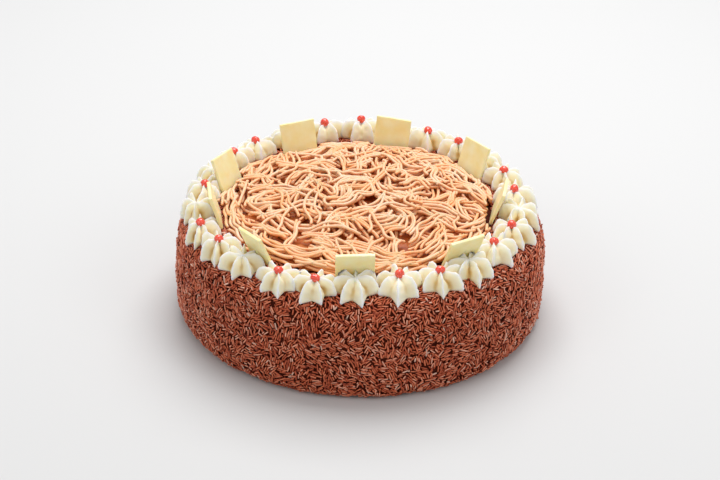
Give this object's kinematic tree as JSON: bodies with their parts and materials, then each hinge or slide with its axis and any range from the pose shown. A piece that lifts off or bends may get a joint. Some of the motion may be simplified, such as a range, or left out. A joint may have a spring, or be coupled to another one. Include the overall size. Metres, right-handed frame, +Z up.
{
  "type": "chestnut vermicelli cake",
  "caption": "Round uncut cake coated in chocolate strands, topped with a nest of chestnut puree strands inside a ring of piped cream rosettes with white chocolate plaques and jelly dots.",
  "frame": {"origin": "middle of the flat base, on the surface that the cake stands on", "axes": "+Z up, -Y towards the front of the cake, +X to its right"},
  "size_m": [0.2201, 0.2204, 0.0858],
  "materials": {
    "chocolate_strands": "reddish milk chocolate strands, satin, with dark gaps between them",
    "chestnut_puree": "moist piped chestnut puree, pale orange brown",
    "whipped_cream": "smooth piped cream, warm ivory white, soft satin",
    "white_chocolate": "cast white chocolate, pale ivory yellow, satin",
    "red_jelly": "glossy clear red jelly"
  },
  "bodies": {
    "root": {"cake_body": "chocolate_strands", "chestnut_nest": "chestnut_puree", "rosette_01": "whipped_cream", "rosette_02": "whipped_cream", "rosette_03": "whipped_cream", "rosette_04": "whipped_cream", "rosette_05": "whipped_cream", "rosette_06": "whipped_cream", "rosette_07": "whipped_cream", "rosette_08": "whipped_cream", "rosette_09": "whipped_cream", "rosette_10": "whipped_cream", "rosette_11": "whipped_cream", "rosette_12": "whipped_cream", "rosette_13": "whipped_cream", "rosette_14": "whipped_cream", "rosette_15": "whipped_cream", "rosette_16": "whipped_cream", "rosette_17": "whipped_cream", "rosette_18": "whipped_cream", "rosette_19": "whipped_cream", "rosette_20": "whipped_cream", "rosette_21": "whipped_cream", "rosette_22": "whipped_cream", "rosette_23": "whipped_cream", "rosette_24": "whipped_cream", "rosette_25": "whipped_cream", "rosette_26": "whipped_cream", "plaque_01": "white_chocolate", "plaque_02": "white_chocolate", "plaque_03": "white_chocolate", "plaque_04": "white_chocolate", "plaque_05": "white_chocolate", "plaque_06": "white_chocolate", "plaque_07": "white_chocolate", "plaque_08": "white_chocolate", "plaque_09": "white_chocolate", "jelly_dot_01": "red_jelly", "jelly_dot_02": "red_jelly", "jelly_dot_03": "red_jelly", "jelly_dot_04": "red_jelly", "jelly_dot_05": "red_jelly", "jelly_dot_06": "red_jelly", "jelly_dot_07": "red_jelly", "jelly_dot_08": "red_jelly", "jelly_dot_09": "red_jelly", "jelly_dot_10": "red_jelly", "jelly_dot_11": "red_jelly", "jelly_dot_12": "red_jelly", "jelly_dot_13": "red_jelly", "jelly_dot_14": "red_jelly", "jelly_dot_15": "red_jelly", "jelly_dot_16": "red_jelly", "jelly_dot_17": "red_jelly"}
  },
  "joints": []
}
